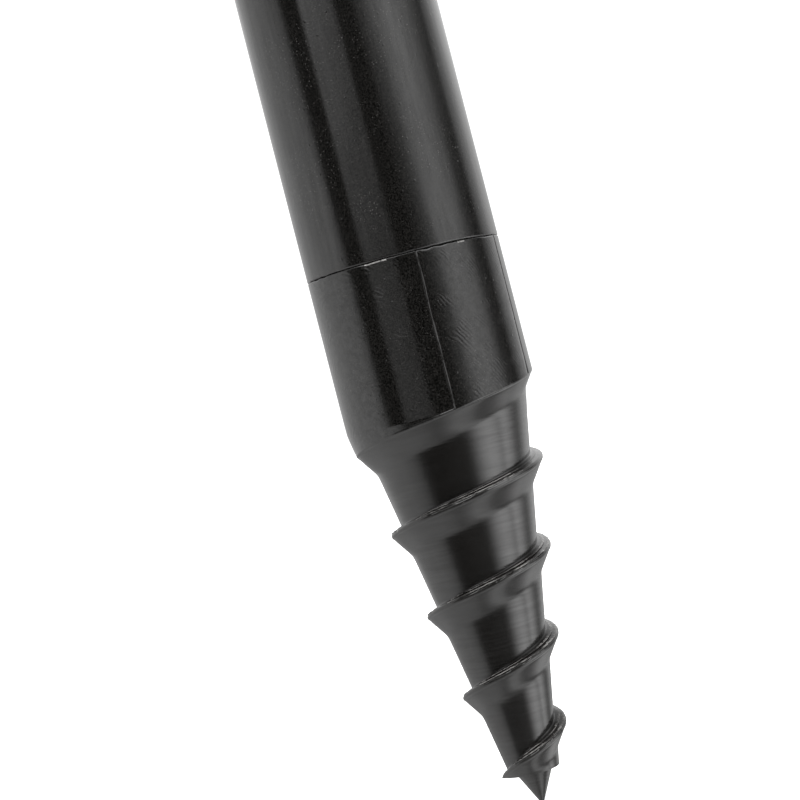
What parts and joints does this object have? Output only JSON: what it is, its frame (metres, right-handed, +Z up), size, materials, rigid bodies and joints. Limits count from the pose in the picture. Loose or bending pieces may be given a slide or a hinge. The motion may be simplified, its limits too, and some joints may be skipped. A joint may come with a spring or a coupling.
{
  "type": "screw-in post anchor",
  "caption": "Ground anchor with a moulded screw tip, a round tube and a clamping head with a hinged lid, that holds a round post.",
  "frame": {"origin": "on the tube's axis at the ground line, level with the underside of the head's flange", "axes": "+Z up along the tube and out of the post socket's mouth, +Y towards the lid's hinge, +X along the cross holes for the turning bar"},
  "size_m": [0.1486, 0.1385, 0.4995],
  "materials": {
    "tube_plastic": "extruded black, semi-gloss with fine draw lines",
    "tip_plastic": "moulded black, semi-gloss",
    "head_plastic": "moulded black, fine spark texture",
    "bush_plastic": "moulded dark grey",
    "knob_plastic": "moulded black, satin",
    "pad_plastic": "moulded dark grey",
    "zinc_steel": "zinc plated",
    "seal_rubber": "soft black rubber"
  },
  "bodies": {
    "anchor": {"screw_tip": "tip_plastic", "body_tube": "tube_plastic", "post_stop": "bush_plastic", "lower_bush": "bush_plastic", "upper_bush": "bush_plastic", "head_housing": "head_plastic", "head_screws": "zinc_steel", "clamp_nuts": "zinc_steel", "lid_hinge_pin": "zinc_steel"},
    "lid": {"lid": "head_plastic", "lid_seal": "seal_rubber"},
    "clamp_pad_1": {"clamp_pad_1": "pad_plastic"},
    "clamp_screw_1": {"clamp_stud_1": "zinc_steel", "clamp_knob_1": "knob_plastic"},
    "clamp_pad_2": {"clamp_pad_2": "pad_plastic"},
    "clamp_screw_2": {"clamp_stud_2": "zinc_steel", "clamp_knob_2": "knob_plastic"},
    "clamp_pad_3": {"clamp_pad_3": "pad_plastic"},
    "clamp_screw_3": {"clamp_stud_3": "zinc_steel", "clamp_knob_3": "knob_plastic"}
  },
  "joints": [
    {"name": "lid_hinge", "type": "hinge", "parent": "anchor", "child": "lid", "pos_m": [0, 0.044, 0.07], "axis": [-1, 0, 0], "range_deg": [0, 115]},
    {"name": "clamp_pad_1_slide", "type": "slide", "parent": "anchor", "child": "clamp_pad_1", "axis": [-0.866, -0.5, 0], "range_m": [0, 0.006]},
    {"name": "clamp_screw_1_turn", "type": "hinge", "parent": "clamp_pad_1", "child": "clamp_screw_1", "pos_m": [0.03464, 0.02, 0.052], "axis": [-0.866, -0.5, 0], "range_deg": [0, 1440]},
    {"name": "clamp_pad_2_slide", "type": "slide", "parent": "anchor", "child": "clamp_pad_2", "axis": [0.866, -0.5, 0], "range_m": [0, 0.006]},
    {"name": "clamp_screw_2_turn", "type": "hinge", "parent": "clamp_pad_2", "child": "clamp_screw_2", "pos_m": [-0.03464, 0.02, 0.052], "axis": [0.866, -0.5, 0], "range_deg": [0, 1440]},
    {"name": "clamp_pad_3_slide", "type": "slide", "parent": "anchor", "child": "clamp_pad_3", "axis": [0, 1, 0], "range_m": [0, 0.006]},
    {"name": "clamp_screw_3_turn", "type": "hinge", "parent": "clamp_pad_3", "child": "clamp_screw_3", "pos_m": [0, -0.04, 0.052], "axis": [0, 1, 0], "range_deg": [0, 1440]}
  ],
  "couplings": [
    {"joint": "clamp_pad_1_slide", "follows": "clamp_screw_1_turn", "m_per_rad": 0.00023873},
    {"joint": "clamp_pad_2_slide", "follows": "clamp_screw_2_turn", "m_per_rad": 0.00023873},
    {"joint": "clamp_pad_3_slide", "follows": "clamp_screw_3_turn", "m_per_rad": 0.00023873}
  ]
}
